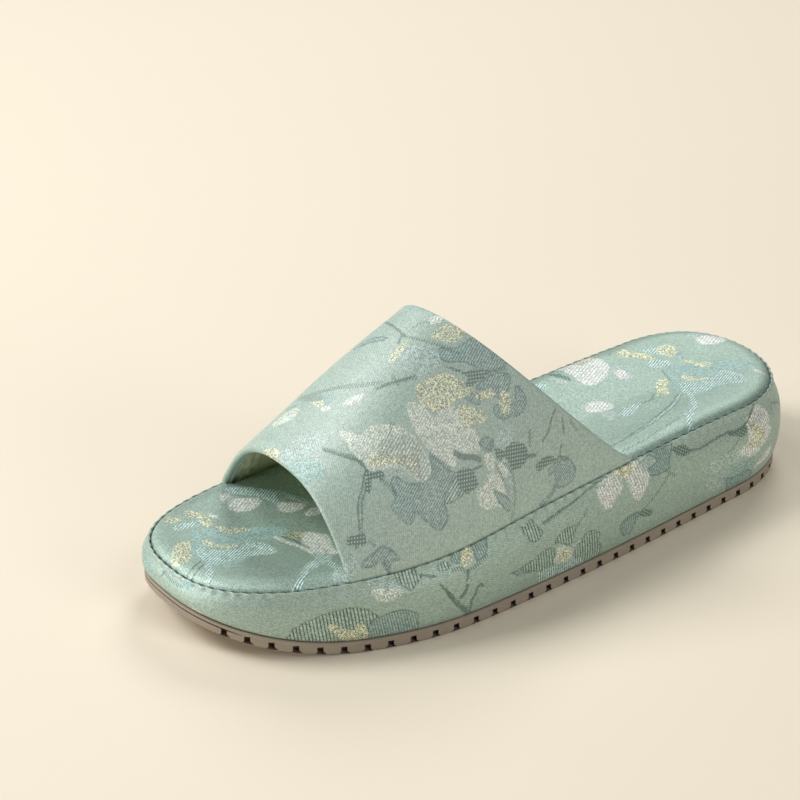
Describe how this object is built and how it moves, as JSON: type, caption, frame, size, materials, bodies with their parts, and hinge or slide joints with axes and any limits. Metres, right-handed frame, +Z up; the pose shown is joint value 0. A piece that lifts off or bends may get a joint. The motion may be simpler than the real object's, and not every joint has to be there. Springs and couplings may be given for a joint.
{
  "type": "platform slide sandal",
  "caption": "Platform slide sandal for the left foot: a hollow open-toe brocade band over a padded insole, on a cloth-covered platform with a notched rubber outsole.",
  "frame": {"origin": "middle of the shoe's footprint, on the floor it stands on", "axes": "+Y to the heel, so the toe is at -Y; +X to the outer side of the foot; +Z up"},
  "size_m": [0.1004, 0.2676, 0.1001],
  "materials": {
    "outsole_rubber": "matt taupe moulded rubber",
    "platform_cover": "sage green floral brocade with a satin ground",
    "insole_cover": "sage green floral brocade with a satin ground",
    "band_cloth": "sage green floral brocade with a satin ground"
  },
  "bodies": {
    "root": {"outsole": "outsole_rubber", "midsole": "platform_cover", "insole": "insole_cover", "upper": "band_cloth"}
  },
  "joints": []
}
